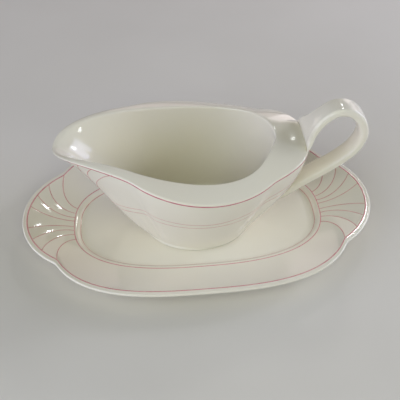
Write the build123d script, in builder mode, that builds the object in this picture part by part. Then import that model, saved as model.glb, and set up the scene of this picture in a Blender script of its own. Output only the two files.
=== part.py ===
"""Porcelain gravy boat standing loose on its lobed underplate.

Millimetres, +Z up. The origin is the middle of the underplate, at the height of
the table; +X runs towards the handle and -X towards the pouring spout. Every
piece is symmetric about the XZ plane.
"""
import os

from build123d import *

# ---------------------------------------------------------------- underplate
PLATE_LENGTH = 240.0
PLATE_WIDTH = 158.0
PLATE_HEIGHT = 17.0
NOTCH = (94.6, 45.5)            # where an end lobe meets a side lobe, on the edge
NOTCH_SHIFT = (1.0, 0.3)        # move of the notch for each mm the outline is drawn in
SHOULDER = (0.54, 0.92)         # a point of a side lobe, in half lengths and half widths
EDGE_WIDTH = 3.0                # rolled edge of the plate
EDGE_DROP = 1.6                 # height of the bevel below the edge
EDGE_BEVEL = 0.6                # the top of the bevel is drawn in by this much

WELL_LENGTH = 171.6             # outer line of the well
WELL_WIDTH = 96.8
WELL_NOTCH = (71.5, 34.2)
WELL_NOTCH_SHIFT = (0.8, 0.7)
WELL_SHOULDER = (0.50, 0.93)
WELL_TOP = 7.0
WELL_FLOOR = 4.5
WELL_SLOPE = 5.0                # run of the bank between the well's two lines

BASE_UNDERSIDE = 1.3
BASE_INSET = 7.0                # underside of the base, inside the well's outline
FLANGE_START = 2.8              # height where the underside turns out to the flange
FLANGE_INSET = 0.5
FOOT_RING_LENGTH = 148.0
FOOT_RING_WIDTH = 76.0
FOOT_RING_THICKNESS = 3.0

# ---------------------------------------------------------------------- boat
# A ring is half of a closed outline, from the spout (y = 0) round one side to
# the handle end (y = 0). Its ten control points make three cubic spans (spout,
# side, handle end), which meet at the fourth and seventh points.
SPANS = ((0, 4), (3, 7), (6, 10))

RIM = [(-91, 0, 75), (-91, 18.5, 78.5), (-68, 26, 82.5),
       (-42, 39.3, 76), (-15.5, 59.5, 67.5), (19.5, 58.5, 61),
       (46, 38.5, 67.3), (61.5, 31, 71.5), (73, 21.5, 70), (73, 0, 70)]

MOUTH = [(-88, 0, 75.3), (-88, 16.5, 77.8), (-68, 21.5, 84.2),
         (-40, 31.5, 77.8), (-21, 38.3, 73.5), (23.5, 50, 66),
         (41.5, 24, 74.2), (47, 15, 76.7), (51, 8, 75.5), (51, 0, 75.5)]

WALL_FOOT_HEIGHT = 6.4
WALL_FOOT = [(-37, 0), (-37, 9), (-33, 17.3),
             (-25, 23.3), (-13, 32.3), (12.5, 37.2),
             (26, 23.5), (32.5, 16.9), (35.5, 9), (35.5, 0)]

BOWL_FLOOR_HEIGHT = 10.0
BOWL_FLOOR = [(-30, 0), (-30, 7.5), (-27, 14.3),
              (-20.5, 19.3), (-11, 26.5), (10, 30.5),
              (21.5, 19.8), (27, 14.7), (30, 8), (30, 0)]

# How a wall swells between its lower and its upper ring: for each control point
# the share of the way out, with the height above the lower ring or the depth
# below the upper ring.
WALL_LOW = [(0.28, 2), (0.30, 4), (0.28, 9), (0.22, 15), (0.18, 17),
            (0.16, 16.5), (0.18, 15.5), (0.26, 14.5), (0.38, 12.5), (0.42, 11.5)]
WALL_HIGH = [(0.60, 12), (0.60, 12.5), (0.70, 15), (0.98, 18), (0.92, 19),
             (0.82, 20), (0.84, 22), (0.90, 25), (0.90, 28), (0.86, 29)]
BOWL_LOW = [(0.36, 0), (0.36, 0), (0.36, 0), (0.36, 0), (0.44, 0),
            (0.44, 0), (0.44, 0), (0.56, 0), (0.66, 0), (0.70, 0)]
BOWL_HIGH = [(0.62, 10), (0.62, 10), (0.68, 13), (0.92, 20), (1.00, 26),
             (1.00, 28), (1.00, 30), (1.06, 32), (1.10, 34), (1.10, 36)]

FOOT_GAP = 0.3                  # clearance of the foot over the well's floor
FOOT_HEIGHT = WELL_FLOOR + FOOT_GAP
FOOT_CENTRE = (-0.75, 0)
FOOT_RADII = (35.4, 30.6)       # just inside the wall above it
FOOT_WIDTH = 3.2

# -------------------------------------------------------------------- handle
# Stations along the strap: x and z of its middle, its width across the boat,
# its thickness, and the direction of travel in degrees above +X.
HANDLE_STATIONS = [
    (69.6, 68.4, 28.0, 6.6, 58),
    (72.3, 72.7, 27.5, 6.6, 58),
    (75.8, 79.0, 20.0, 6.8, 57),
    (80.5, 85.2, 15.8, 7.2, 44),
    (89.1, 91.0, 14.8, 7.2, 14),
    (98.5, 90.0, 14.6, 7.2, -28),
    (105.8, 82.4, 14.4, 7.2, -62),
    (108.3, 71.0, 14.2, 7.0, -92),
    (103.4, 59.3, 14.0, 7.0, -130),
    (90.2, 47.6, 13.8, 7.0, -144),
    (71.0, 35.6, 15.0, 7.4, -146),
    (56.5, 25.8, 17.0, 7.6, -146),
    (40.5, 15.3, 19.0, 7.0, -147),
]
SECTION_ROUNDING = 0.42         # corner radius as a share of the thickness


def mirrored(points):
    """The same control points on the other side of the XZ plane."""
    return [(x, -y, z) for x, y, z in points]


def at_height(outline, height):
    """A flat ring from an outline of (x, y) points."""
    return [(x, y, height) for x, y in outline]


def swell(lower, upper, low, high):
    """The four rings of control points of a wall between two rings."""
    def along(share, start, end):
        return start + share * (end - start)

    first, second = [], []
    for (x0, y0, z0), (x1, y1, z1), (low_share, rise), (high_share, drop) in zip(
        lower, upper, low, high
    ):
        first.append((along(low_share, x0, x1), along(low_share, y0, y1), z0 + rise))
        second.append((along(high_share, x0, x1), along(high_share, y0, y1), z1 - drop))
    return [lower, first, second, upper]


def panels(rings):
    """Bezier faces between rings, for both sides of the boat."""
    faces = []
    for side in (rings, [mirrored(ring) for ring in rings]):
        for start, end in SPANS:
            faces.append(Face.make_bezier_surface([ring[start:end] for ring in side]))
    return faces


def flat_face(ring):
    """The flat face inside a closed flat ring."""
    edges = []
    for side in (ring, mirrored(ring)):
        for start, end in SPANS:
            edges.append(Edge.make_bezier(*side[start:end]))
    return Face(Wire(edges))


def lobed_outline(length, width, notch, shoulder):
    """Closed outline of two end lobes (arcs) and two side lobes (splines)."""
    half_length = length / 2
    half_width = width / 2
    x, y = notch
    shoulder_x, shoulder_y = shoulder
    for end in (1, -1):
        ThreePointArc((end * x, y), (end * half_length, 0), (end * x, -y))
    for side in (1, -1):
        Spline(
            (-x, side * y),
            (-shoulder_x * half_length, side * shoulder_y * half_width),
            (0, side * half_width),
            (shoulder_x * half_length, side * shoulder_y * half_width),
            (x, side * y),
        )


def moved_in(notch, shift, inset):
    """Where a notch goes when its outline is drawn in by an inset."""
    return notch[0] - shift[0] * inset, notch[1] - shift[1] * inset


def plate_sketch(height, inset):
    """The plate's outline, drawn in by an inset, at a height."""
    with BuildSketch(Plane.XY.offset(height)) as sketch:
        with BuildLine():
            lobed_outline(PLATE_LENGTH - 2 * inset, PLATE_WIDTH - 2 * inset,
                          moved_in(NOTCH, NOTCH_SHIFT, inset), SHOULDER)
        make_face()
    return sketch.sketch


def well_sketch(height, inset):
    """The well's outline, drawn in by an inset, at a height."""
    with BuildSketch(Plane.XY.offset(height)) as sketch:
        with BuildLine():
            lobed_outline(WELL_LENGTH - 2 * inset, WELL_WIDTH - 2 * inset,
                          moved_in(WELL_NOTCH, WELL_NOTCH_SHIFT, inset), WELL_SHOULDER)
        make_face()
    return sketch.sketch


# ---------------------------------------------------------------- underplate
plate_base = well_sketch(BASE_UNDERSIDE, BASE_INSET)
plate_turn = well_sketch(FLANGE_START, FLANGE_INSET)
plate_edge = plate_sketch(PLATE_HEIGHT - EDGE_DROP, 0)
plate_top = plate_sketch(PLATE_HEIGHT, EDGE_BEVEL)
hollow_top = plate_sketch(PLATE_HEIGHT, EDGE_WIDTH)
hollow_well = well_sketch(WELL_TOP, 0)
hollow_floor = well_sketch(WELL_FLOOR, WELL_SLOPE)

with BuildPart() as underplate:
    loft([plate_base, plate_turn, plate_edge, plate_top], ruled=True)
    loft([hollow_floor, hollow_well, hollow_top], ruled=True, mode=Mode.SUBTRACT)
    with BuildSketch(Plane.XY):
        Ellipse(FOOT_RING_LENGTH / 2, FOOT_RING_WIDTH / 2)
        Ellipse(FOOT_RING_LENGTH / 2 - FOOT_RING_THICKNESS,
                FOOT_RING_WIDTH / 2 - FOOT_RING_THICKNESS, mode=Mode.SUBTRACT)
    extrude(amount=BASE_UNDERSIDE)
underplate.part.label = "underplate"

# ----------------------------------------------------------------- boat body
wall_foot = at_height(WALL_FOOT, WALL_FOOT_HEIGHT)
bowl_floor = at_height(BOWL_FLOOR, BOWL_FLOOR_HEIGHT)
wall = panels(swell(wall_foot, RIM, WALL_LOW, WALL_HIGH))
shoulder = panels([RIM, MOUTH])
bowl = panels(swell(bowl_floor, MOUTH, BOWL_LOW, BOWL_HIGH))
casting = Solid(Shell(wall + shoulder + bowl + [flat_face(wall_foot), flat_face(bowl_floor)]))

with BuildPart() as boat_body:
    add(casting)
    with BuildSketch(Plane.XY.offset(FOOT_HEIGHT)):
        with Locations(FOOT_CENTRE):
            Ellipse(*FOOT_RADII)
            Ellipse(*(radius - FOOT_WIDTH for radius in FOOT_RADII), mode=Mode.SUBTRACT)
    extrude(amount=WALL_FOOT_HEIGHT - FOOT_HEIGHT)
boat_body.part.label = "boat_body"

# -------------------------------------------------------------------- handle
sections = []
for x, z, width, thickness, travel in HANDLE_STATIONS:
    across = Plane(origin=(x, 0, z), x_dir=(0, 1, 0),
                   z_dir=Vector(1, 0, 0).rotate(Axis.Y, -travel))
    with BuildSketch(across) as section:
        RectangleRounded(width, thickness, SECTION_ROUNDING * thickness)
    sections.append(section.sketch)

with BuildPart() as strap:
    loft(sections)
    add(boat_body.part, mode=Mode.SUBTRACT)

with BuildPart() as boat_handle:
    add(strap.solids().sort_by(SortBy.VOLUME)[-1])
boat_handle.part.label = "boat_handle"

os.makedirs("parts", exist_ok=True)
export_step(underplate.part, "parts/underplate.step")
export_step(boat_body.part, "parts/boat_body.step")
export_step(boat_handle.part, "parts/boat_handle.step")
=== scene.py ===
"""Porcelain gravy boat on its lobed underplate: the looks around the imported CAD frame.

Shapes are worked out in millimetres in the CAD's own frame (+X to the handle, +Z
up, the table at zero) and turned into metres when a mesh is made. Each half of
the boat and each quarter of the underplate is drawn once and mirrored.
"""
import math

import bmesh
import bpy
import numpy as np
from mathutils import Matrix, Vector
from mathutils.bvhtree import BVHTree


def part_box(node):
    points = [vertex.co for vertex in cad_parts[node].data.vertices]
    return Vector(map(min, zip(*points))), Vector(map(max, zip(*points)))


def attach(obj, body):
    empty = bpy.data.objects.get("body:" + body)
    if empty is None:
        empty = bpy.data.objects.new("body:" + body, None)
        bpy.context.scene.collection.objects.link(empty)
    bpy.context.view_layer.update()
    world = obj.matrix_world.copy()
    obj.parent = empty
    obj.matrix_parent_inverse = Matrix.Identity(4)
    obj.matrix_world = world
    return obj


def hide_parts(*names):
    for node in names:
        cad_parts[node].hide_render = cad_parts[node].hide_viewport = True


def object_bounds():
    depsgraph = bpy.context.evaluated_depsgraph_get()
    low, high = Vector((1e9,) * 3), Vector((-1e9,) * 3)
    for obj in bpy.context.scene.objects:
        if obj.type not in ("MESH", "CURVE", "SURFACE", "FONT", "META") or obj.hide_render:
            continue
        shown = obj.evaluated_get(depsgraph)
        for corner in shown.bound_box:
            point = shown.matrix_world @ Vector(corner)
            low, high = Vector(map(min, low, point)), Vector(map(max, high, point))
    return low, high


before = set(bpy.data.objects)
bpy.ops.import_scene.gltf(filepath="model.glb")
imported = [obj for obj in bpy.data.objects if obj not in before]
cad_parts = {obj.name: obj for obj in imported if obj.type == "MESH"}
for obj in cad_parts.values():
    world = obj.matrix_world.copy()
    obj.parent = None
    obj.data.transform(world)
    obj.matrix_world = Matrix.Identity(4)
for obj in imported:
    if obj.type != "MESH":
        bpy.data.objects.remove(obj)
CAD_LOW, CAD_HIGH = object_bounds()

MM = 0.001
MIRROR = np.array([1, -1, 1])


# ------------------------------------------------------------------ geometry
def highest_corner(node):
    """The corner of a CAD node's box that is highest in x, y and z, in millimetres."""
    return np.array(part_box(node)[1]) / MM


def bernstein(t):
    """The four cubic Bezier weights at each t."""
    t = np.asarray(t, float)[..., None]
    rest = 1 - t
    return np.concatenate([rest ** 3, 3 * rest * rest * t, 3 * rest * t * t, t ** 3], axis=-1)


def blend(start, end, share):
    """Points part of the way from start to end."""
    return start + (end - start) * np.asarray(share)[..., None]


def rounded(before, corner, after, steps):
    """Rows round a corner, after the row before it and up to the row after it."""
    rows = []
    for t in np.arange(1, steps + 1) / steps:
        rows.append((1 - t) ** 2 * before + 2 * t * (1 - t) * corner + t * t * after)
    return rows


def along(points, closed):
    """Distance of each point along a run of points, and back to the first if it is closed."""
    ends = np.roll(points, -1, axis=0) if closed else points[1:]
    steps = np.linalg.norm(ends - points[: len(ends)], axis=1)
    return np.concatenate([[0], np.cumsum(steps)])


def respaced(points, count, closed=False):
    """Points at even distances along a run of points."""
    reach = along(points, closed)
    source = np.vstack([points, points[:1]]) if closed else points
    at = np.linspace(0, reach[-1], count, endpoint=not closed)
    return np.column_stack([np.interp(at, reach, column) for column in source.T])


def softened(points, passes):
    """An open run of points with its corners eased, ends kept."""
    points = points.copy()
    for _ in range(passes):
        points[1:-1] = (points[:-2] + 2 * points[1:-1] + points[2:]) / 4
    return points


def grid_faces(rows, columns):
    """Quads between closed rings of points that follow one another."""
    faces = []
    for row in range(rows - 1):
        for column in range(columns):
            after = (column + 1) % columns
            low = row * columns
            high = low + columns
            faces.append((low + column, low + after, high + after, high + column))
    return faces


def capped(rings):
    """Points and faces of a closed skin over rings, with a point at each end."""
    columns = len(rings[0])
    last = len(rings) * columns
    points = np.concatenate(list(rings) + [[rings[0].mean(axis=0)], [rings[-1].mean(axis=0)]])
    faces = grid_faces(len(rings), columns)
    for column in range(columns):
        after = (column + 1) % columns
        faces.append((last, after, column))
        faces.append((last + 1, last - columns + column, last - columns + after))
    return points, faces


def make_piece(name, points, faces, material, body):
    """A smooth closed mesh that rides on a body, with its faces turned outwards."""
    mesh = bpy.data.meshes.new(name)
    mesh.from_pydata((points * MM).tolist(), [], faces)
    shape = bmesh.new()
    shape.from_mesh(mesh)
    if shape.calc_volume(signed=True) < 0:
        bmesh.ops.reverse_faces(shape, faces=shape.faces)
    shape.to_mesh(mesh)
    shape.free()
    mesh.shade_smooth()
    mesh.materials.append(material)
    piece = bpy.data.objects.new(name, mesh)
    bpy.context.scene.collection.objects.link(piece)
    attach(piece, body)
    return piece


def surface_of(points, faces):
    """A search tree over a surface, in millimetres, with its faces turned outwards."""
    a, b, c = (points[[face[index] for face in faces]] for index in range(3))
    from_middle = a - points.mean(axis=0)
    if np.einsum("ij,ij->i", np.cross(b - a, c - a), from_middle).sum() < 0:
        faces = [face[::-1] for face in faces]
    return BVHTree.FromPolygons(points.tolist(), faces)


# ----------------------------------------------------------------- materials
class Nodes:
    """Short forms for building a material's node tree."""

    def __init__(self, name):
        self.material = bpy.data.materials.new(name)
        self.material.use_nodes = True
        self.tree = self.material.node_tree
        self.shader = self.tree.nodes["Principled BSDF"]
        self.place = self.add("ShaderNodeTexCoord").outputs["Object"]

    def add(self, kind, **settings):
        node = self.tree.nodes.new(kind)
        for key, value in settings.items():
            setattr(node, key, value)
        return node

    def join(self, source, target):
        self.tree.links.new(source, target)

    def noise(self, scale, detail=2.0, roughness=0.5):
        node = self.add("ShaderNodeTexNoise")
        node.inputs["Scale"].default_value = scale
        node.inputs["Detail"].default_value = detail
        node.inputs["Roughness"].default_value = roughness
        self.join(self.place, node.inputs["Vector"])
        return node.outputs["Fac"]

    def ramp(self, value, stops):
        node = self.add("ShaderNodeValToRGB")
        elements = node.color_ramp.elements
        while len(elements) < len(stops):
            elements.new(0.5)
        for element, (position, colour) in zip(elements, stops):
            element.position = position
            element.color = (*colour, 1)
        self.join(value, node.inputs["Fac"])
        return node.outputs["Color"]

    def feed(self, socket, value):
        self.join(value, self.shader.inputs[socket])

    def scaled(self, value, low, high):
        node = self.add("ShaderNodeMapRange")
        node.inputs["To Min"].default_value = low
        node.inputs["To Max"].default_value = high
        self.join(value, node.inputs["Value"])
        return node.outputs["Result"]

    def mixed(self, share, first, second, blend_type="MIX"):
        node = self.add("ShaderNodeMix", data_type="RGBA", blend_type=blend_type)
        for source, index in ((share, 0), (first, 6), (second, 7)):
            if isinstance(source, (float, tuple)):
                node.inputs[index].default_value = source
            else:
                self.join(source, node.inputs[index])
        return node.outputs[2]

    def bump(self, height, distance, strength, before=None):
        node = self.add("ShaderNodeBump")
        node.inputs["Distance"].default_value = distance
        node.inputs["Strength"].default_value = strength
        self.join(height, node.inputs["Height"])
        if before is not None:
            self.join(before, node.inputs["Normal"])
        return node.outputs["Normal"]


BLACK = (0.0, 0.0, 0.0)
GREY = (0.5, 0.5, 0.5)
WHITE = (1.0, 1.0, 1.0)
PORCELAIN_WARM = (0.800, 0.755, 0.640)
PORCELAIN_COOL = (0.785, 0.752, 0.655)
SPECK = (0.42, 0.36, 0.29)
SPECK_CELLS = 95.0              # scale of the cells that hold one speck each
SPECK_SPAN = (0.015, 0.035)     # distances from a cell's middle between which a speck ends
SPECK_PATCHES = 40.0            # scale of the patches where specks show
GLAZE_ROUGHNESS = (0.05, 0.10)
GLAZE_PATCHES = 30.0            # scale of the changes in roughness
GLAZE_IOR = 1.52
GLAZE_WAVES = (55.0, 0.00003, 0.12)         # scale, height in metres and strength
GLAZE_PEEL = (420.0, 0.000004, 0.12)

# Enamel: the colour of a full stroke, and the colour where it is thin.
ROSE_BOAT = ((0.53, 0.150, 0.195), (0.64, 0.300, 0.310))
ROSE_PLATE = ((0.62, 0.26, 0.27), (0.70, 0.40, 0.38))
ROSE_FINE = ((0.62, 0.300, 0.285), (0.70, 0.48, 0.43))
ENAMEL_DENSITY = 160.0          # scale of the changes along a stroke
ENAMEL_ROUGHNESS = (0.16, 0.30)
ENAMEL_PATCHES = 300.0
ENAMEL_GRAIN = (700.0, 0.00002, 0.4)


def relief(nodes, scale, height, strength, before=None):
    """Fine unevenness of a surface, on top of another one if there is one before it."""
    return nodes.bump(nodes.noise(scale, detail=1.0), height, strength, before)


def glaze(name, cloud_scale):
    """Glazed porcelain: faint clouds of colour, rare specks, a slightly wavy gloss."""
    nodes = Nodes(name)
    clouds = nodes.noise(cloud_scale, detail=3.0)
    body = nodes.ramp(clouds, [(0.3, PORCELAIN_WARM), (0.7, PORCELAIN_COOL)])
    cells = nodes.add("ShaderNodeTexVoronoi")
    cells.inputs["Scale"].default_value = SPECK_CELLS
    nodes.join(nodes.place, cells.inputs["Vector"])
    specks = nodes.ramp(cells.outputs["Distance"], list(zip(SPECK_SPAN, (WHITE, BLACK))))
    rare = nodes.ramp(nodes.noise(SPECK_PATCHES), [(0.60, BLACK), (0.66, GREY)])
    share = nodes.mixed(1.0, specks, rare, "MULTIPLY")
    nodes.feed("Base Color", nodes.mixed(share, body, (*SPECK, 1)))
    nodes.feed("Roughness", nodes.scaled(nodes.noise(GLAZE_PATCHES), *GLAZE_ROUGHNESS))
    waves = relief(nodes, *GLAZE_WAVES)
    nodes.feed("Normal", relief(nodes, *GLAZE_PEEL, before=waves))
    nodes.shader.inputs["IOR"].default_value = GLAZE_IOR
    nodes.shader.inputs["Specular IOR Level"].default_value = 0.5
    return nodes.material


def enamel(name, colour, faded):
    """Fired-on enamel: uneven density along the stroke and a satin surface."""
    nodes = Nodes(name)
    density = nodes.noise(ENAMEL_DENSITY, detail=3.0, roughness=0.6)
    nodes.feed("Base Color", nodes.ramp(density, [(0.30, faded), (0.62, colour)]))
    nodes.feed("Roughness", nodes.scaled(nodes.noise(ENAMEL_PATCHES), *ENAMEL_ROUGHNESS))
    nodes.feed("Normal", relief(nodes, *ENAMEL_GRAIN))
    return nodes.material


plate_glaze = glaze("plate_glaze_look", cloud_scale=14.0)
boat_glaze = glaze("boat_glaze_look", cloud_scale=17.0)
handle_glaze = glaze("handle_glaze_look", cloud_scale=21.0)
rim_enamel = enamel("rim_enamel_look", *ROSE_BOAT)
plate_enamel = enamel("plate_enamel_look", *ROSE_PLATE)
fine_enamel = enamel("fine_enamel_look", *ROSE_FINE)

# --------------------------------------------------------------- enamel lines
LINE_STEP = 1.0                 # spacing of the points along a line
LINE_PROUD = 0.05               # height of the enamel above the glaze
LINE_SUNK = 0.04                # depth of its hidden underside
# Section of a line: share of the half width, and height.
LINE_SECTION = ((-1.0, -LINE_SUNK), (-0.85, 0.8 * LINE_PROUD), (0.0, LINE_PROUD),
                (0.85, 0.8 * LINE_PROUD), (1.0, -LINE_SUNK), (0.0, -LINE_SUNK))


def line_on(surface, path, width, closed):
    """Points and faces of one enamel line laid along a path on a surface."""
    reach = along(path, closed)[-1]
    path = respaced(path, max(4, int(reach / LINE_STEP)), closed)
    found = [surface.find_nearest(Vector(point)) for point in path]
    middle = np.array([place for place, _, _, _ in found])
    normal = np.array([facing for _, facing, _, _ in found])
    if closed:
        forward = np.roll(middle, -1, axis=0) - np.roll(middle, 1, axis=0)
    else:
        forward = np.gradient(middle, axis=0)
    side = np.cross(normal, forward)
    side /= np.linalg.norm(side, axis=1)[:, None]
    rings = []
    for point, across in zip(middle, side):
        ring = []
        for share, height in LINE_SECTION:
            place, facing, _, _ = surface.find_nearest(Vector(point + across * share * width / 2))
            ring.append(place + facing * height)
        rings.append(np.array(ring))
    if not closed:
        return capped(rings)
    points = np.concatenate(rings)
    size = len(LINE_SECTION)
    faces = grid_faces(len(rings), size)
    last = (len(rings) - 1) * size
    for index in range(size):
        after = (index + 1) % size
        faces.append((last + index, last + after, after, index))
    return points, faces


def lay_lines(name, surface, paths, width, material, body, closed):
    """One piece made of enamel lines along several paths."""
    points, faces = [], []
    for path in paths:
        start = sum(len(run) for run in points)
        run, run_faces = line_on(surface, path, width, closed)
        points.append(run)
        faces += [tuple(start + index for index in face) for face in run_faces]
    return make_piece(name, np.concatenate(points), faces, material, body)


# ---------------------------------------------------------------- underplate
PLATE_HALF_LENGTH, PLATE_HALF_WIDTH, PLATE_TOP = highest_corner("underplate")
EDGE_NOTCH = (95.0, 45.0)       # where an end lobe meets a side lobe, on the edge
LINE_INSET = 3.3                # rim line, inside the edge
LINE_NOTCH = (93.7, 41.8)
LOBE_POWER = 2.9                # fullness of a side lobe
WELL_HALF_LENGTH = 85.8
WELL_HALF_WIDTH = 48.4
WELL_POWER = 2.6
WELL_TOP = 7.0
WELL_FLOOR = 4.5
BANK_RUN = 4.8                  # width of the ridge between the well's two lines

# The fan at each end: for the middle and then for its four lines on one side,
# distance from the middle at the well and at the rim, and the two points that
# bend each line in between.
FAN_AT_WELL = (0, 2.8, 6.5, 10.5, 14.8)
FAN_AT_RIM = (0, 10.7, 22.1, 32.7, LINE_NOTCH[1])
FAN_BEND_LOW = ((95, 0), (95, 2.4), (95, 5.6), (94.4, 11.3), (91.7, 17.2))
FAN_BEND_HIGH = ((106, 0), (106, 4.6), (105.2, 11.8), (103.2, 20.0), (96.6, 27.5))
FLUTE_STEPS = 10                # columns across one flute
SIDE_STEPS = 64                 # columns along half a side lobe
FLUTE_DEPTH = 0.36              # crown of a flute over its edges, near the rim
FLUTE_AT_WELL = 0.12            # share of that crown near the well
FLUTE_START = 1 / 12            # the flutes rise from the well line up to here
FLUTE_END = 0.80                # from here on the flutes fade towards the rim line
FLANGE_STEPS = 26
FLANGE_DISH = 0.32              # 0 for a straight flange, more for one that curves up
BEND_FADE = 14                  # columns in which the bend beside the fan fades away
OVAL_POINTS = 400               # points of an oval before it is respaced
WELL_EASING = 3                 # passes that round the notches of a ring
EDGE_EASING = 2
INNER_EASING = 6


def arc_through(half_length, notch, share):
    """Points of an end lobe, an arc from its middle (share 0) to the notch (share 1)."""
    x, y = notch
    centre = (half_length ** 2 - x * x - y * y) / (2 * (half_length - x))
    radius = half_length - centre
    turn = np.asarray(share) * math.atan2(y, x - centre)
    return np.column_stack([centre + radius * np.cos(turn), radius * np.sin(turn)])


def arc_share(half_length, notch, offset):
    """Share of the way round an end lobe at which it is offset from the middle line."""
    x, y = notch
    centre = (half_length ** 2 - x * x - y * y) / (2 * (half_length - x))
    radius = half_length - centre
    return np.arcsin(np.asarray(offset) / radius) / math.atan2(y, x - centre)


def oval_from(start, half_width, power, count):
    """Even points of a full oval, from a start on it to its middle at the side."""
    x, y = start
    reach = x / (1 - (y / half_width) ** power) ** (1 / power)
    xs = x * np.cos(np.linspace(0, math.pi / 2, OVAL_POINTS))
    ys = half_width * (1 - (xs / reach) ** power) ** (1 / power)
    return respaced(np.column_stack([xs, ys]), count)


def well_x(offset):
    """How far out the well's line runs at an offset from the middle line."""
    return WELL_HALF_LENGTH * (1 - (offset / WELL_HALF_WIDTH) ** WELL_POWER) ** (1 / WELL_POWER)


def plate_quarter():
    """Columns of a quarter of the plate: well line, two bends, rim line, edge, flute crown."""
    place = np.arange(4 * FLUTE_STEPS) / FLUTE_STEPS
    lines = np.arange(5)
    offsets = np.interp(place, lines, FAN_AT_WELL)
    well = np.column_stack([well_x(offsets), offsets])
    low, high = [
        np.column_stack([np.interp(place, lines, column) for column in zip(*bends)])
        for bends in (FAN_BEND_LOW, FAN_BEND_HIGH)
    ]
    line_ends = (PLATE_HALF_LENGTH - LINE_INSET, LINE_NOTCH)
    shares = arc_share(*line_ends, np.interp(place, lines, FAN_AT_RIM))
    rim = arc_through(*line_ends, shares)
    edge = arc_through(PLATE_HALF_LENGTH, EDGE_NOTCH, shares)
    part = np.where(place < 1, (place + 1) / 2, place % 1)
    crown = 4 * part * (1 - part)

    last = FAN_AT_WELL[-1]
    side_well = oval_from((well_x(last), last), WELL_HALF_WIDTH, WELL_POWER, SIDE_STEPS)
    side_rim = oval_from(LINE_NOTCH, PLATE_HALF_WIDTH - LINE_INSET, LOBE_POWER, SIDE_STEPS)
    side_edge = oval_from(EDGE_NOTCH, PLATE_HALF_WIDTH, LOBE_POWER, SIDE_STEPS)
    bent = np.exp(-(np.arange(SIDE_STEPS) / BEND_FADE) ** 2)
    straight_low = blend(side_well, side_rim, np.full(SIDE_STEPS, 1 / 3))
    straight_high = blend(side_well, side_rim, np.full(SIDE_STEPS, 2 / 3))
    shift_low = np.array(FAN_BEND_LOW[-1]) - straight_low[0]
    shift_high = np.array(FAN_BEND_HIGH[-1]) - straight_high[0]
    side_low = straight_low + bent[:, None] * shift_low
    side_high = straight_high + bent[:, None] * shift_high
    return (
        np.vstack([well, side_well]), np.vstack([low, side_low]),
        np.vstack([high, side_high]), np.vstack([rim, side_rim]),
        np.vstack([edge, side_edge]), np.concatenate([crown, np.zeros(SIDE_STEPS)]),
    )


def all_round(quarter):
    """A whole ring of the plate from the columns of its first quarter."""
    over_y, over_x = ((-1, 1), (1, -1)) if quarter.ndim == 2 else (1, 1)
    half = np.concatenate([quarter, quarter[-2::-1] * np.array(over_y)])
    return np.concatenate([half, half[-2:0:-1] * np.array(over_x)])


def raised(flat, height):
    """A flat ring lifted to a height, or to one height per column."""
    return np.column_stack([flat, np.broadcast_to(height, len(flat))])


def drawn_in(ring, distance):
    """A flat ring moved towards its inside by a distance."""
    forward = np.roll(ring, -1, axis=0) - np.roll(ring, 1, axis=0)
    inward = np.column_stack([-forward[:, 1], forward[:, 0]])
    return ring + inward / np.linalg.norm(inward, axis=1)[:, None] * distance


def eased(ring, passes):
    """A closed ring with its notches a little rounded."""
    for _ in range(passes):
        ring = (np.roll(ring, 1, axis=0) + 2 * ring + np.roll(ring, -1, axis=0)) / 4
    return ring


WELL, BEND_LOW, BEND_HIGH, RIM_LINE, EDGE, CROWN = map(all_round, plate_quarter())
WELL = eased(WELL, WELL_EASING)
RIM_LINE = eased(RIM_LINE, EDGE_EASING)
EDGE = eased(EDGE, EDGE_EASING)
WELL_INNER = eased(drawn_in(WELL, BANK_RUN), INNER_EASING)
# Ridge round the well: share of the way from the inner to the outer line, height.
BANK = ((0.0, 4.52), (0.08, 4.66), (0.18, 5.00), (0.30, 5.52), (0.43, 6.08),
        (0.57, 6.52), (0.71, 6.82), (0.83, 6.96), (0.93, 7.01))
WELL_INNER_LINE = 0.14          # place of the inner line on that ridge
# Rolled edge: share of the way from the rim line to the edge, drop below the top.
ROLL = ((0.12, 0.21), (0.30, 0.17), (0.50, 0.10), (0.66, 0.02), (0.76, 0.0), (0.86, 0.08),
        (0.94, 0.34), (0.99, 0.78), (1.0, 1.20), (0.98, 1.60), (0.90, 1.95), (0.76, 2.12))
RIM_LINE_DROP = 0.22            # the rim line's height below the plate's top
FLOOR_SHARES = (0.04, 0.25, 0.5, 0.7, 0.85, 0.94)       # rings of the well's floor
BASE_HEIGHT = 1.3
BASE_INSET = 6.5                # edge of the base, inside the well line
BASE_EASING = 8
TURN_HEIGHT = 2.8               # where the underside turns up to the flange
TURN_INSET = 0.6
TURN_MIDDLE = (3.0, 0.9)        # between turn and base: inset, and drop below the turn
UNDER_STEPS = 12
FOOT_RING = (74.0, 38.0)
FOOT_RING_WIDTH = 3.0
# Foot ring: distance inside its outer face, height.
FOOT_ROLL = ((0.0, 1.3), (0.05, 0.55), (0.45, 0.08), (1.0, 0.0), (2.0, 0.0),
             (2.55, 0.08), (2.95, 0.55), (3.0, 1.3))
INSIDE_FOOT_SHARES = (0.8, 0.5, 0.2, 0.04)      # rings of the base inside the foot ring


def flange(share):
    """The row of the flange at a share of the way from the well line to the rim line."""
    weights = bernstein(share)
    row = sum(weight * net for weight, net in zip(weights, (WELL, BEND_LOW, BEND_HIGH, RIM_LINE)))
    rim_height = PLATE_TOP - RIM_LINE_DROP
    dished = (1 - FLANGE_DISH) * share + FLANGE_DISH * share ** 2
    height = WELL_TOP + (rim_height - WELL_TOP) * dished
    onset = min(1, share / FLUTE_START)
    fade = min(1, (1 - share) / (1 - FLUTE_END))
    depth = FLUTE_DEPTH * (FLUTE_AT_WELL + (1 - FLUTE_AT_WELL) * share)
    return raised(row, height + CROWN * depth * onset * fade * (2 - fade))


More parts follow.
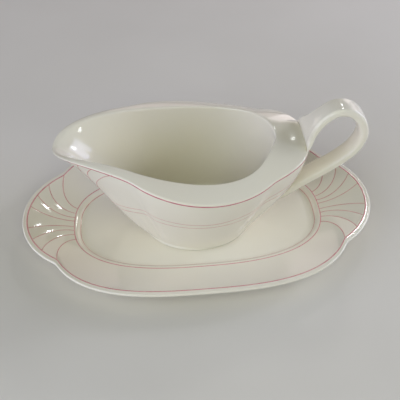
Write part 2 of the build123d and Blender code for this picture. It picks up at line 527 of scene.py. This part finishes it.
def plate_rings():
    """Rings of the underplate, from the middle of its floor round to its underside."""
    rings = []
    for share in FLOOR_SHARES:
        rings.append(raised(WELL_INNER * share, WELL_FLOOR))
    for share, height in BANK:
        rings.append(raised(WELL_INNER + (WELL - WELL_INNER) * share, height))
    for share in np.linspace(0, 1, FLANGE_STEPS):
        rings.append(flange(share))
    for share, drop in ROLL:
        rings.append(raised(RIM_LINE + (EDGE - RIM_LINE) * share, PLATE_TOP - drop))
    under_edge = rings[-1]
    turn = raised(drawn_in(WELL, TURN_INSET), TURN_HEIGHT)
    for share in np.linspace(0, 1, UNDER_STEPS)[1:]:
        rings.append(under_edge + (turn - under_edge) * share)
    inset, drop = TURN_MIDDLE
    rings.append(raised(drawn_in(WELL, inset), TURN_HEIGHT - drop))
    rings.append(raised(eased(drawn_in(WELL, BASE_INSET), BASE_EASING), BASE_HEIGHT))
    angle = np.arctan2(WELL[:, 1] / FOOT_RING[1], WELL[:, 0] / FOOT_RING[0])
    facing = np.column_stack([np.cos(angle), np.sin(angle)])
    for inside, height in FOOT_ROLL:
        rings.append(raised(facing * (np.array(FOOT_RING) - inside), height))
    inside_foot = facing * (np.array(FOOT_RING) - FOOT_RING_WIDTH)
    for share in INSIDE_FOOT_SHARES:
        rings.append(raised(inside_foot * share, BASE_HEIGHT))
    return rings


plate_points, plate_faces = capped(plate_rings())
underplate = make_piece("porcelain_underplate", plate_points, plate_faces,
                        plate_glaze, "plate")
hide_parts("underplate")

plate_surface = surface_of(plate_points, plate_faces)
PLATE_RIM_LINE_WIDTH = 1.05
PLATE_WELL_LINE_WIDTH = 0.78
PLATE_INNER_LINE_WIDTH = 0.60
PLATE_FAN_LINE_WIDTH = 0.70
INNER_LINE_HEIGHT = 5.0         # near its place on the ridge, from where it is laid on
FAN_LINE_POINTS = 30


def plate_fan_paths():
    """Paths of the fan lines on both sides of both ends, from the well out to the rim."""
    round_plate = len(CROWN)
    half_way = round_plate // 2
    rows = [flange(share) for share in np.linspace(0, 1, FAN_LINE_POINTS)]
    paths = []
    for line in range(1, len(FAN_AT_WELL)):
        place = line * FLUTE_STEPS
        for column in (place, half_way - place, half_way + place, round_plate - place):
            paths.append(np.array([row[column] for row in rows]))
    return paths


lay_lines("plate_rim_line", plate_surface, [flange(1.0)], PLATE_RIM_LINE_WIDTH,
          plate_enamel, "plate", closed=True)
lay_lines("plate_well_line", plate_surface, [flange(0.0)], PLATE_WELL_LINE_WIDTH,
          plate_enamel, "plate", closed=True)
inner_line = raised(WELL_INNER + (WELL - WELL_INNER) * WELL_INNER_LINE, INNER_LINE_HEIGHT)
lay_lines("plate_inner_line", plate_surface, [inner_line], PLATE_INNER_LINE_WIDTH,
          fine_enamel, "plate", closed=True)
lay_lines("plate_fan_lines", plate_surface, plate_fan_paths(), PLATE_FAN_LINE_WIDTH,
          fine_enamel, "plate", closed=False)

# ----------------------------------------------------------------- boat body
SPAN_STARTS = (0, 3, 6)         # spout, side and handle end of a half ring
RIM = np.array([(-91, 0, 75), (-91, 18.5, 78.5), (-68, 26, 82.5), (-42, 39.3, 76),
                (-15.5, 59.5, 67.5), (19.5, 58.5, 61), (46, 38.5, 67.3),
                (61.5, 31, 71.5), (73, 21.5, 70), (73, 0, 70)], float)
MOUTH = np.array([(-88, 0, 75.3), (-88, 16.5, 77.8), (-68, 21.5, 84.2), (-40, 31.5, 77.8),
                  (-21, 38.3, 73.5), (23.5, 50, 66), (41.5, 24, 74.2),
                  (47, 15, 76.7), (51, 8, 75.5), (51, 0, 75.5)], float)
WALL_FOOT = np.array([(-37, 0, 6.4), (-37, 9, 6.4), (-33, 17.3, 6.4), (-25, 23.3, 6.4),
                      (-13, 32.3, 6.4), (12.5, 37.2, 6.4), (26, 23.5, 6.4),
                      (32.5, 16.9, 6.4), (35.5, 9, 6.4), (35.5, 0, 6.4)], float)
BOWL_FLOOR = np.array([(-30, 0, 10), (-30, 7.5, 10), (-27, 14.3, 10), (-20.5, 19.3, 10),
                       (-11, 26.5, 10), (10, 30.5, 10), (21.5, 19.8, 10),
                       (27, 14.7, 10), (30, 8, 10), (30, 0, 10)], float)
# How a wall swells between its lower and its upper ring: share of the way out,
# with the height above the lower ring or the depth below the upper ring.
WALL_LOW = ((0.28, 2), (0.30, 4), (0.28, 9), (0.22, 15), (0.18, 17),
            (0.16, 16.5), (0.18, 15.5), (0.26, 14.5), (0.38, 12.5), (0.42, 11.5))
WALL_HIGH = ((0.60, 12), (0.60, 12.5), (0.70, 15), (0.98, 18), (0.92, 19),
             (0.82, 20), (0.84, 22), (0.90, 25), (0.90, 28), (0.86, 29))
BOWL_LOW = ((0.36, 0), (0.36, 0), (0.36, 0), (0.36, 0), (0.44, 0),
            (0.44, 0), (0.44, 0), (0.56, 0), (0.66, 0), (0.70, 0))
BOWL_HIGH = ((0.62, 10), (0.62, 10), (0.68, 13), (0.92, 20), (1.00, 26),
             (1.00, 28), (1.00, 30), (1.06, 32), (1.10, 34), (1.10, 36))
SPAN_STEPS = 48                 # columns in each span of a half ring
CREASES = (1, 2, 4, 5)          # spans round the ring after which two lobes meet
FOLD_DEPTHS = (1.8, 0.8, 0.8, 1.8)
RIM_FOLD_DEPTHS = (0.3, 0.4, 0.4, 0.3)
FOLD_REACH = (3.5, 6.0)         # columns, into the side lobe and into the end lobe
FOLD_EASING = 20
CREASE_EASING = 3
CREASE_REACH = 5.0              # columns on each side of a crease that are rounded
WALL_STEPS = 44
RIM_RADIUS = 1.1
RIM_STEPS = 6
LIP_RADIUS = 2.0
LIP_MOST = 0.45                 # largest share of the shoulder that the lip takes up
LIP_STEPS = 7
SHOULDER_CROWN = 0.35           # rise of the shoulder between rim and mouth
SHOULDER_WIDTH = 15.0           # where it is this wide, and in proportion elsewhere
SHOULDER_STEPS = 18
STEP_X = 69.4                   # the strap's upper end stops upright over the shoulder
TAB_RISE = 1.7                  # the shoulder curls up to that end
TAB_RISE_START = 57.0
TAB_RISE_TOP = 71.0
TAB_RISE_END = 74.5
TAB_FADE_BEHIND = 3.0           # length over which the rise ends towards the rim
TAB_HALF_WIDTH = 17.5
TAB_FADE_BESIDE = 5.0
FOOT_CENTRE = np.array([-0.75, 0.0])
FOOT_RADII = np.array([36.2, 31.5])
FOOT_WIDTH = 4.1
FOOT_TOP = 6.4
FOOT_SHARES = (0.05, 0.4, 0.75, 0.92)           # rings under the boat, inside the foot
BOWL_FLOOR_SHARES = (0.85, 0.6, 0.3, 0.04)
# Foot of the boat, from inside it outwards: distance inside its outer face, height.
FOOT_PROFILE = ((4.5, 6.3), (4.1, 5.6), (3.8, 4.95), (3.2, 4.6), (1.4, 4.56),
                (0.45, 4.60), (-0.05, 4.75), (-0.30, 5.05), (-0.35, 5.4), (-0.2, 5.8))


def half_turned(controls):
    """A closed ring of points on both sides, from ten control points on one side."""
    at = bernstein(np.arange(SPAN_STEPS) / SPAN_STEPS)
    side = np.vstack([at @ controls[start:start + 4] for start in SPAN_STARTS] + [controls[-1:]])
    return np.vstack([side, side[-2:0:-1] * MIRROR])


def near_crease(columns, reach_side, reach_end, depths):
    """Depth at each column: one depth at each fold, reaching into the lobes beside it."""
    place = np.arange(columns)
    on_side_lobe = (place // SPAN_STEPS) % 3 == 1
    reach = np.where(on_side_lobe, reach_side, reach_end)
    near = np.zeros(columns)
    for crease, depth in zip(CREASES, depths):
        near += depth * np.exp(-((place - crease * SPAN_STEPS) / reach) ** 2)
    return near[:, None]


def creases_rounded(ring):
    """Rounds a ring where two lobes meet, and leaves the lobes themselves alone."""
    near = near_crease(len(ring), CREASE_REACH, CREASE_REACH, (1, 1, 1, 1))
    return ring + (eased(ring, CREASE_EASING) - ring) * near


def folded(ring, depths):
    """A ring pressed in along the folds between its lobes."""
    inward = drawn_in(ring[:, :2], -1.0) - ring[:, :2]      # the ring runs clockwise
    pressed = ring.copy()
    pressed[:, :2] += eased(inward, FOLD_EASING) * near_crease(len(ring), *FOLD_REACH, depths)
    return pressed


def swell(lower, upper, low, high):
    """The four rings of a wall between two rings, rounded at the creases."""
    low, high = np.array(low), np.array(high)
    first = lower + (upper - lower) * low[:, :1]
    first[:, 2] = lower[:, 2] + low[:, 1]
    second = lower + (upper - lower) * high[:, :1]
    second[:, 2] = upper[:, 2] - high[:, 1]
    return [creases_rounded(half_turned(ring)) for ring in (lower, first, second, upper)]


def wall_row(nets, share):
    """A row of a wall at a share of the way up it, or at one share per column."""
    weights = bernstein(np.broadcast_to(share, len(nets[0])))
    return sum(weights[:, [index]] * net for index, net in enumerate(nets))


WALL = swell(WALL_FOOT, RIM, WALL_LOW, WALL_HIGH)
WALL[1:3] = [folded(ring, FOLD_DEPTHS) for ring in WALL[1:3]]
WALL[3] = folded(WALL[3], RIM_FOLD_DEPTHS)
BOWL = swell(BOWL_FLOOR, MOUTH, BOWL_LOW, BOWL_HIGH)


def share_before_end(nets, distance):
    """Share of the way up a wall that is a distance short of its upper ring."""
    return 1 - distance / (3 * np.linalg.norm(nets[3] - nets[2], axis=1))


def smooth_step(value):
    """0 below 0, 1 above 1 and a smooth rise in between."""
    value = np.clip(value, 0, 1)
    return value * value * (3 - 2 * value)


def risen_to_tab(row):
    """A row of the shoulder that curls up to meet the upper end of the handle."""
    x, y = row[:, 0], np.abs(row[:, 1])
    along_x = smooth_step((x - TAB_RISE_START) / (TAB_RISE_TOP - TAB_RISE_START))
    behind = smooth_step((TAB_RISE_END - x) / TAB_FADE_BEHIND)
    beside = smooth_step((TAB_HALF_WIDTH - y) / TAB_FADE_BESIDE)
    row[:, 2] += TAB_RISE * along_x * behind * beside
    return row


def foot_rings():
    """Rings under the boat, from the middle outwards."""
    ring = WALL[0][:, :2] - FOOT_CENTRE
    angle = np.arctan2(ring[:, 1] / FOOT_RADII[1], ring[:, 0] / FOOT_RADII[0])
    facing = np.column_stack([np.cos(angle), np.sin(angle)])
    inner = FOOT_RADII - FOOT_WIDTH
    rings = [raised(FOOT_CENTRE + facing * inner * share, FOOT_TOP) for share in FOOT_SHARES]
    for inside, height in FOOT_PROFILE:
        rings.append(raised(FOOT_CENTRE + facing * (FOOT_RADII - inside), height))
    return rings


def wall_rings():
    """Rings of the outer wall, from the foot to just below the rim."""
    top = share_before_end(WALL, RIM_RADIUS)
    return [wall_row(WALL, top * share) for share in np.linspace(0, 1, WALL_STEPS + 1)]


def shoulder_rings(last_wall, first_bowl):
    """Rings over the rim, across the shoulder and round the lip into the bowl."""
    rim, mouth = WALL[3], BOWL[3]
    width = np.linalg.norm(mouth - rim, axis=1)
    start = RIM_RADIUS / width
    end = 1 - np.minimum(LIP_RADIUS, LIP_MOST * width) / width
    rings = rounded(last_wall, rim, blend(rim, mouth, start), RIM_STEPS)
    for share in np.linspace(0, 1, SHOULDER_STEPS)[1:]:
        row = blend(rim, mouth, start + (end - start) * share)
        row[:, 2] += SHOULDER_CROWN * 4 * share * (1 - share) * width / SHOULDER_WIDTH
        rings.append(risen_to_tab(row))
    return rings + rounded(blend(rim, mouth, end), mouth, first_bowl, LIP_STEPS)


def boat_rings():
    """Rings of the whole boat, from under its foot up the wall and down the bowl."""
    rings = foot_rings() + wall_rings()
    top = share_before_end(BOWL, LIP_RADIUS)
    bowl = [wall_row(BOWL, top * share) for share in np.linspace(1, 0, WALL_STEPS + 1)]
    rings += shoulder_rings(rings[-1], bowl[0])
    rings += bowl[1:]
    lowest = bowl[-1]
    middle = lowest.mean(axis=0)
    return rings + [middle + (lowest - middle) * share for share in BOWL_FLOOR_SHARES]


boat_points, boat_faces = capped(boat_rings())
boat_body = make_piece("porcelain_boat", boat_points, boat_faces,
                       boat_glaze, "boat")
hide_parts("boat_body")

outside = wall_rings()
outside += shoulder_rings(outside[-1], wall_row(BOWL, share_before_end(BOWL, LIP_RADIUS)))
boat_surface = surface_of(np.concatenate(outside), grid_faces(len(outside), len(outside[0])))

# Lines round the belly: place along a half ring in spans from the spout, and
# share of the way up the wall.
BELLY_UPPER = ((0.0, 0.475), (0.34, 0.478), (0.59, 0.490), (0.79, 0.520), (0.96, 0.560),
               (1.04, 0.582), (1.16, 0.590), (1.32, 0.602), (1.47, 0.617), (1.62, 0.632),
               (1.74, 0.660), (1.85, 0.668), (1.94, 0.678), (2.00, 0.712), (2.06, 0.745),
               (2.20, 0.757), (2.40, 0.762), (3.0, 0.765))
BELLY_LOWER = ((0.0, 0.405), (0.37, 0.418), (0.62, 0.440), (0.96, 0.505), (1.04, 0.508),
               (1.14, 0.512), (1.31, 0.530), (1.47, 0.550), (1.63, 0.568), (1.76, 0.576),
               (1.87, 0.584), (1.95, 0.610), (2.00, 0.645), (2.06, 0.676), (2.21, 0.682),
               (2.43, 0.676), (3.0, 0.676))
# Fan under the spout: each line from the rim down to the front of the belly.
SPOUT_FAN = (
    ((0.55, 0.985), (0.47, 0.92), (0.40, 0.85), (0.32, 0.76), (0.20, 0.62), (0.10, 0.48)),
    ((0.69, 0.985), (0.61, 0.92), (0.54, 0.86), (0.43, 0.78), (0.29, 0.64), (0.17, 0.48)),
    ((0.86, 0.985), (0.79, 0.94), (0.71, 0.86), (0.52, 0.74), (0.38, 0.65), (0.25, 0.48)),
)
RIM_LINE_BELOW = 1.7            # boat's rim line, below the corner of the rim
BOAT_RIM_LINE_WIDTH = 1.15
BELLY_LINE_WIDTH = 0.62
SPOUT_LINE_WIDTH = 0.65
BELLY_POINTS = 160              # along one side
BELLY_EASING = 6
SPOUT_LINE_POINTS = 40
SPOUT_LINE_EASING = 20


def wall_point(place, share):
    """A point of the wall's outside at a place along one side and a share of the way up."""
    column = place * SPAN_STEPS
    low = min(int(column), len(WALL[0]) // 2 - 1)
    points = [net[low] + (net[low + 1] - net[low]) * (column - low) for net in WALL]
    return sum(weight * point for weight, point in zip(bernstein(share), points))


def both_ways_round(stops):
    """A closed path round the boat from its places and heights on one side."""
    places, shares = zip(*stops)
    at = np.linspace(places[0], places[-1], BELLY_POINTS)
    side = np.array([wall_point(p, s) for p, s in zip(at, np.interp(at, places, shares))])
    side = softened(side, BELLY_EASING)
    return np.vstack([side, side[-2:0:-1] * MIRROR])


def fan_path(stops):
    """An open path on one side of the wall through places and heights."""
    run = np.array([wall_point(place, share) for place, share in stops])
    return softened(respaced(run, SPOUT_LINE_POINTS), SPOUT_LINE_EASING)


rim_path = wall_row(WALL, share_before_end(WALL, RIM_LINE_BELOW))
lay_lines("boat_rim_line", boat_surface, [rim_path], BOAT_RIM_LINE_WIDTH,
          rim_enamel, "boat", closed=True)
belly_paths = [both_ways_round(BELLY_UPPER), both_ways_round(BELLY_LOWER)]
lay_lines("boat_belly_lines", boat_surface, belly_paths, BELLY_LINE_WIDTH,
          fine_enamel, "boat", closed=True)
spout_paths = []
for stops in SPOUT_FAN:
    path = fan_path(stops)
    spout_paths += [path, path * MIRROR]
lay_lines("boat_spout_lines", boat_surface, spout_paths, SPOUT_LINE_WIDTH,
          fine_enamel, "boat", closed=False)

# --------------------------------------------------------------------- handle
# Stations along the strap: x and z of its middle, its width and its thickness.
STATIONS = np.array([
    (68.0, 67.5, 30.5, 3.2), (71.3, 74.4, 30.8, 4.2), (75.3, 79.6, 21.6, 5.8),
    (80.5, 85.2, 15.8, 7.2), (89.1, 91.0, 14.8, 7.2), (98.5, 90.0, 14.6, 7.2),
    (105.8, 82.4, 14.4, 7.2), (108.3, 71.0, 14.2, 7.0), (103.4, 59.3, 14.0, 7.0),
    (90.2, 47.6, 13.8, 7.0), (71.0, 35.6, 15.0, 7.4), (57.0, 26.6, 16.5, 7.2),
    (46.0, 21.0, 14.0, 4.5)])
STATION_STEPS = 24              # rows between two stations, before they are respaced
STRAP_EASING = 10
STRAP_SECTIONS = 200
STRAP_POINTS = 64
SECTION_POWER = 2.9             # squareness of the strap's section
TAB_POWER = 6.0                 # and of its upper end
TAB_SHARE = 0.10                # share of the strap over which it turns from one to the other
BEAD_HEIGHT = 0.45              # bead along each edge of the strap's outer face
BEAD_PLACE = 0.80
BEAD_WIDTH = 0.13
TAB_SECTIONS = 40               # sections that are kept on the handle's side of STEP_X
STEP_ROUNDING = 0.45            # softness of the corner where they reach it
ROOT_SECTION = 150              # from here on the strap may run into the wall
SINK_DEPTH = 0.8                # depth of the hidden part of the strap inside the wall


def curve_through(stations, steps):
    """Even rows along a smooth curve through stations (Catmull-Rom)."""
    ends = np.vstack([2 * stations[0] - stations[1], stations, 2 * stations[-1] - stations[-2]])
    rows = []
    for index in range(1, len(ends) - 2):
        before, start, end, after = ends[index - 1:index + 3]
        for t in np.arange(STATION_STEPS) / STATION_STEPS:
            rows.append(0.5 * (2 * start + (end - before) * t
                               + (2 * before - 5 * start + 4 * end - after) * t * t
                               + (3 * start - before - 3 * end + after) * t ** 3))
    rows.append(stations[-1])
    return respaced(softened(np.array(rows), STRAP_EASING), steps)


def strap_rings():
    """Sections of the strap, flat inside and softly crowned between beads outside."""
    rows = curve_through(STATIONS, STRAP_SECTIONS)
    travel = np.gradient(rows[:, :2], axis=0)
    travel /= np.linalg.norm(travel, axis=1)[:, None]
    angle = np.linspace(0, 2 * math.pi, STRAP_POINTS, endpoint=False)
    shares = np.linspace(0, 1 / TAB_SHARE, STRAP_SECTIONS)
    powers = np.interp(shares, (0, 1), (TAB_POWER, SECTION_POWER))
    rings = []
    for (x, z, width, thickness), (right, up), power in zip(rows, travel, powers):
        wide = np.sign(np.cos(angle)) * np.abs(np.cos(angle)) ** (2 / power)
        thick = np.sign(np.sin(angle)) * np.abs(np.sin(angle)) ** (2 / power)
        bead = BEAD_HEIGHT * np.exp(-((np.abs(wide) - BEAD_PLACE) / BEAD_WIDTH) ** 2)
        bead = bead * np.clip(thick, 0, 1)
        out = thick * thickness / 2 + bead - BEAD_HEIGHT * np.clip(thick, 0, 1)
        rings.append(np.column_stack([x - up * out, wide * width / 2, z + right * out]))
    return rings


def sunk(ring, surface):
    """A section with its points inside the boat brought up to just under the glaze."""
    ring = ring.copy()
    for index, point in enumerate(ring):
        place, facing, _, _ = surface.find_nearest(Vector(point))
        if (Vector(point) - place).dot(facing) < -SINK_DEPTH:
            ring[index] = place - facing * SINK_DEPTH
    return ring


strap = strap_rings()
for ring in strap[:TAB_SECTIONS]:
    # A soft maximum of x and STEP_X.
    over = (ring[:, 0] - STEP_X) / STEP_ROUNDING
    ring[:, 0] = STEP_X + STEP_ROUNDING * np.logaddexp(0, over)
strap[ROOT_SECTION:] = [sunk(ring, boat_surface) for ring in strap[ROOT_SECTION:]]
handle_points, handle_faces = capped(strap)
handle = make_piece("porcelain_handle", handle_points, handle_faces,
                    handle_glaze, "boat")
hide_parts("boat_handle")

# ---------------------------------------------------------------------- stage
FLOOR_HALF_SIZE = 3.0           # metres, as everything on the stage
FLOOR_GAP = 0.0002              # between the floor and the plate's foot ring
FLOOR_GRAIN = 8.0
FLOOR_COLOURS = ((0.66, 0.635, 0.585), (0.69, 0.665, 0.615))
FLOOR_ROUGHNESS = 0.8
AIR_LIGHT = ((0.95, 0.97, 1.0), 0.01)           # colour, strength
DAYLIGHT = (0.97, 0.99, 1.0)
# Soft boxes: name, azimuth, elevation, distance, size, power, colour.
SOFT_BOXES = (
    ("right_soft_box", 120, 15, 1.3, (2.2, 0.55), 5.7, (1.0, 0.91, 0.94)),
    ("side_soft_box", 95, 16, 1.2, (1.0, 0.6), 7.3, (0.66, 0.72, 1.0)),
    ("left_soft_box", -60, 20, 1.4, (2.0, 1.1), 18.8, (0.74, 0.79, 1.0)),
    ("front_soft_box", 0, 45, 1.2, (1.0, 0.8), 4.6, (0.97, 1.0, 0.70)),
    ("corner_soft_box", 50, 24, 1.2, (1.2, 0.7), 0.4, (0.88, 0.95, 1.0)),
    ("back_soft_box", -120, 14, 1.2, (1.0, 0.5), 1.8, (1.0, 0.88, 0.88)),
    ("far_soft_box", 165, 14, 1.2, (0.9, 0.5), 1.4, (1.0, 0.84, 0.80)),
    ("window_soft_box", 158, 39, 1.3, (0.07, 0.09), 0.8, DAYLIGHT),
    ("spout_soft_box", 106, 24, 1.3, (0.17, 0.17), 1.5, DAYLIGHT),
    ("spout_side_soft_box", 48, 23, 1.3, (0.17, 0.12), 0.8, DAYLIGHT),
)


def floor():
    """A plain pale floor just under the plate's foot ring."""
    mesh = bpy.data.meshes.new("studio_floor")
    side = FLOOR_HALF_SIZE
    height = CAD_LOW.z - FLOOR_GAP
    mesh.from_pydata([(-side, -side, height), (side, -side, height),
                      (side, side, height), (-side, side, height)], [], [(0, 1, 2, 3)])
    nodes = Nodes("studio_floor_look")
    grain = nodes.noise(FLOOR_GRAIN)
    nodes.feed("Base Color", nodes.ramp(grain, list(zip((0.3, 0.7), FLOOR_COLOURS))))
    nodes.shader.inputs["Roughness"].default_value = FLOOR_ROUGHNESS
    mesh.materials.append(nodes.material)
    piece = bpy.data.objects.new("studio_floor", mesh)
    bpy.context.scene.collection.objects.link(piece)


def direction(azimuth, elevation):
    """Unit vector from the object: azimuth 0 is towards -Y, 90 towards +X."""
    a, e = math.radians(azimuth), math.radians(elevation)
    return Vector((math.sin(a) * math.cos(e), -math.cos(a) * math.cos(e), math.sin(e)))


def soft_box(name, azimuth, elevation, distance, size, power, colour):
    """A rectangular soft light that looks at the object's middle."""
    light = bpy.data.lights.new(name, "AREA")
    light.shape = "RECTANGLE"
    light.size, light.size_y = size
    light.energy = power
    light.color = colour
    lamp = bpy.data.objects.new(name, light)
    middle = (CAD_LOW + CAD_HIGH) / 2
    facing = direction(azimuth, elevation)
    lamp.location = middle + facing * distance
    lamp.rotation_euler = facing.to_track_quat("Z", "Y").to_euler()
    bpy.context.scene.collection.objects.link(lamp)


def ambient(colour, strength):
    """Even light from all round."""
    world = bpy.data.worlds.new("studio_air")
    world.use_nodes = True
    background = world.node_tree.nodes["Background"]
    background.inputs["Color"].default_value = (*colour, 1)
    background.inputs["Strength"].default_value = strength
    bpy.context.scene.world = world


floor()
for box in SOFT_BOXES:
    soft_box(*box)
ambient(*AIR_LIGHT)

# --------------------------------------------------------------------- camera
CAMERA_AZIMUTH = -3.72          # degrees, as the next two; lengths are millimetres
CAMERA_ELEVATION = 42.73
CAMERA_ROLL = -1.59
CAMERA_DISTANCE = 507.24
CAMERA_ASIDE = (1.61, 15.63)    # sideways and upwards from the line to the origin
CAMERA_LENS = 64.45
CAMERA_CLIP = 0.01              # metres


def place_camera():
    """The camera at the photograph's viewing angle."""
    camera = bpy.data.objects.new("studio_camera", bpy.data.cameras.new("studio_camera"))
    back = direction(CAMERA_AZIMUTH, CAMERA_ELEVATION)
    a, roll = math.radians(CAMERA_AZIMUTH), math.radians(CAMERA_ROLL)
    level = Vector((math.cos(a), math.sin(a), 0))
    upright = back.cross(level)
    right = math.cos(roll) * level + math.sin(roll) * upright
    up = math.cos(roll) * upright - math.sin(roll) * level
    aside, above = CAMERA_ASIDE
    turn = Matrix((right, up, back)).transposed().to_4x4()
    place = (right * aside + up * above + back * CAMERA_DISTANCE) * MM
    camera.matrix_world = Matrix.Translation(place) @ turn
    camera.data.lens = CAMERA_LENS
    camera.data.clip_start = CAMERA_CLIP
    bpy.context.scene.collection.objects.link(camera)
    bpy.context.scene.camera = camera


place_camera()
bpy.context.scene.view_settings.view_transform = "Standard"
